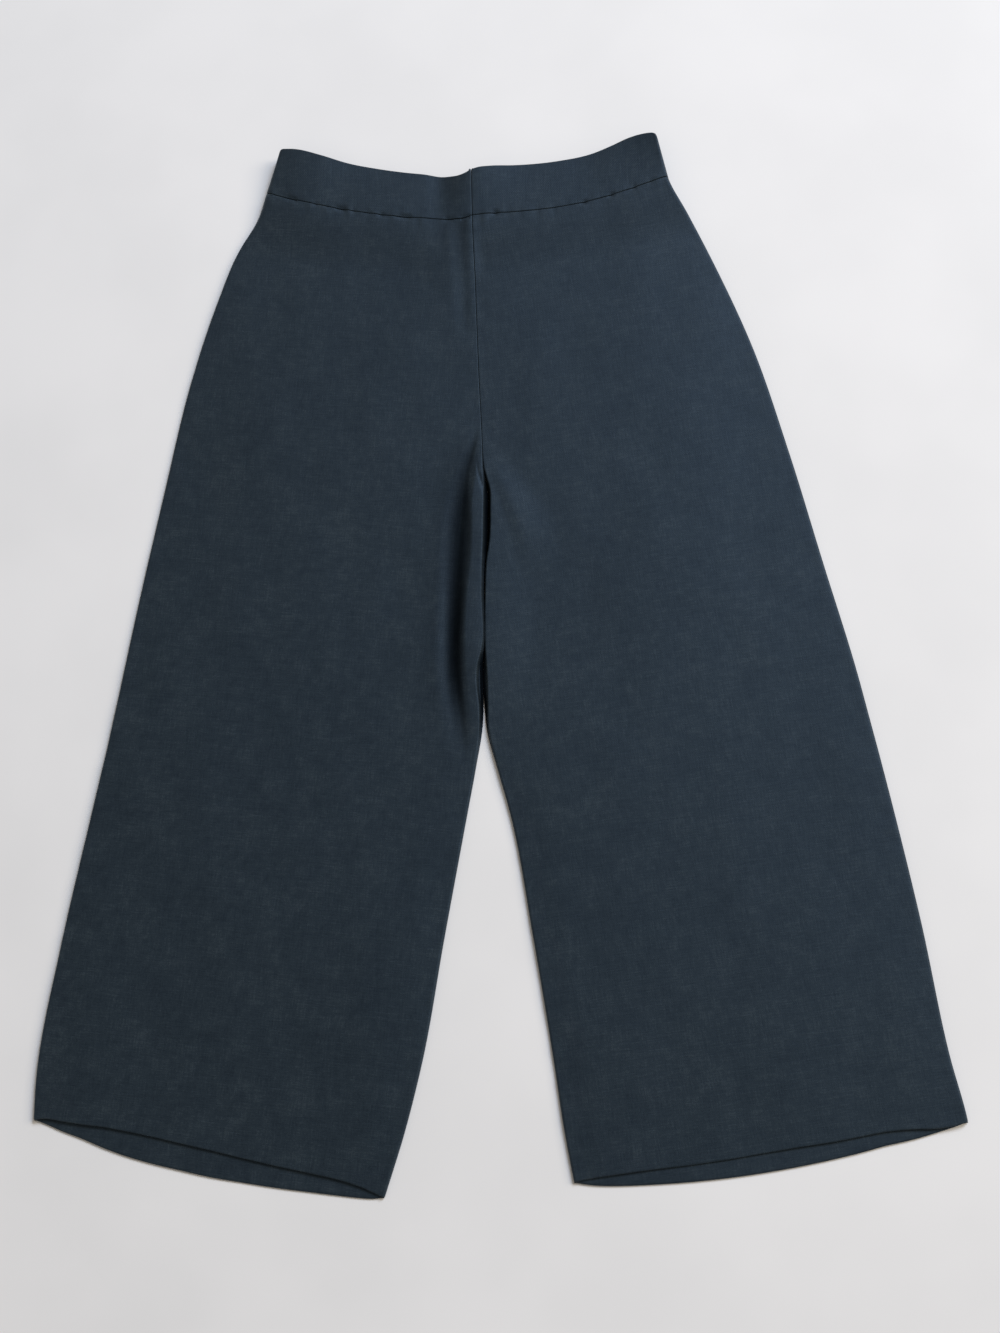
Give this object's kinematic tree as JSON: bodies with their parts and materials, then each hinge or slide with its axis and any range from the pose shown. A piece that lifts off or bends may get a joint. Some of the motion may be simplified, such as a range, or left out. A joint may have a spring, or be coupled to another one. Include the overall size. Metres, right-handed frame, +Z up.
{
  "type": "culottes",
  "caption": "Wide cropped trousers in plain dark woven cloth, laid flat on their back, with a plain front waistband, an elastic back waistband and turned-up hems.",
  "frame": {"origin": "middle of the garment's box across and along, on the surface it lies on", "axes": "+Y from the hems to the waist, +X to the right of someone who looks down at it, +Z up off the surface"},
  "size_m": [0.7402, 0.9234, 0.0269],
  "materials": {
    "cloth": "matt, dark blue-grey, plain slubbed weave",
    "waistband": "matt, dark blue-grey, plain slubbed weave, two layers",
    "elastic_waistband": "matt, dark blue-grey, plain slubbed weave, gathered over elastic"
  },
  "bodies": {
    "root": {"front_left": "cloth", "front_right": "cloth", "back_left": "cloth", "back_right": "cloth", "waistband_front_left": "waistband", "waistband_front_right": "waistband", "waistband_back": "elastic_waistband"}
  },
  "joints": []
}
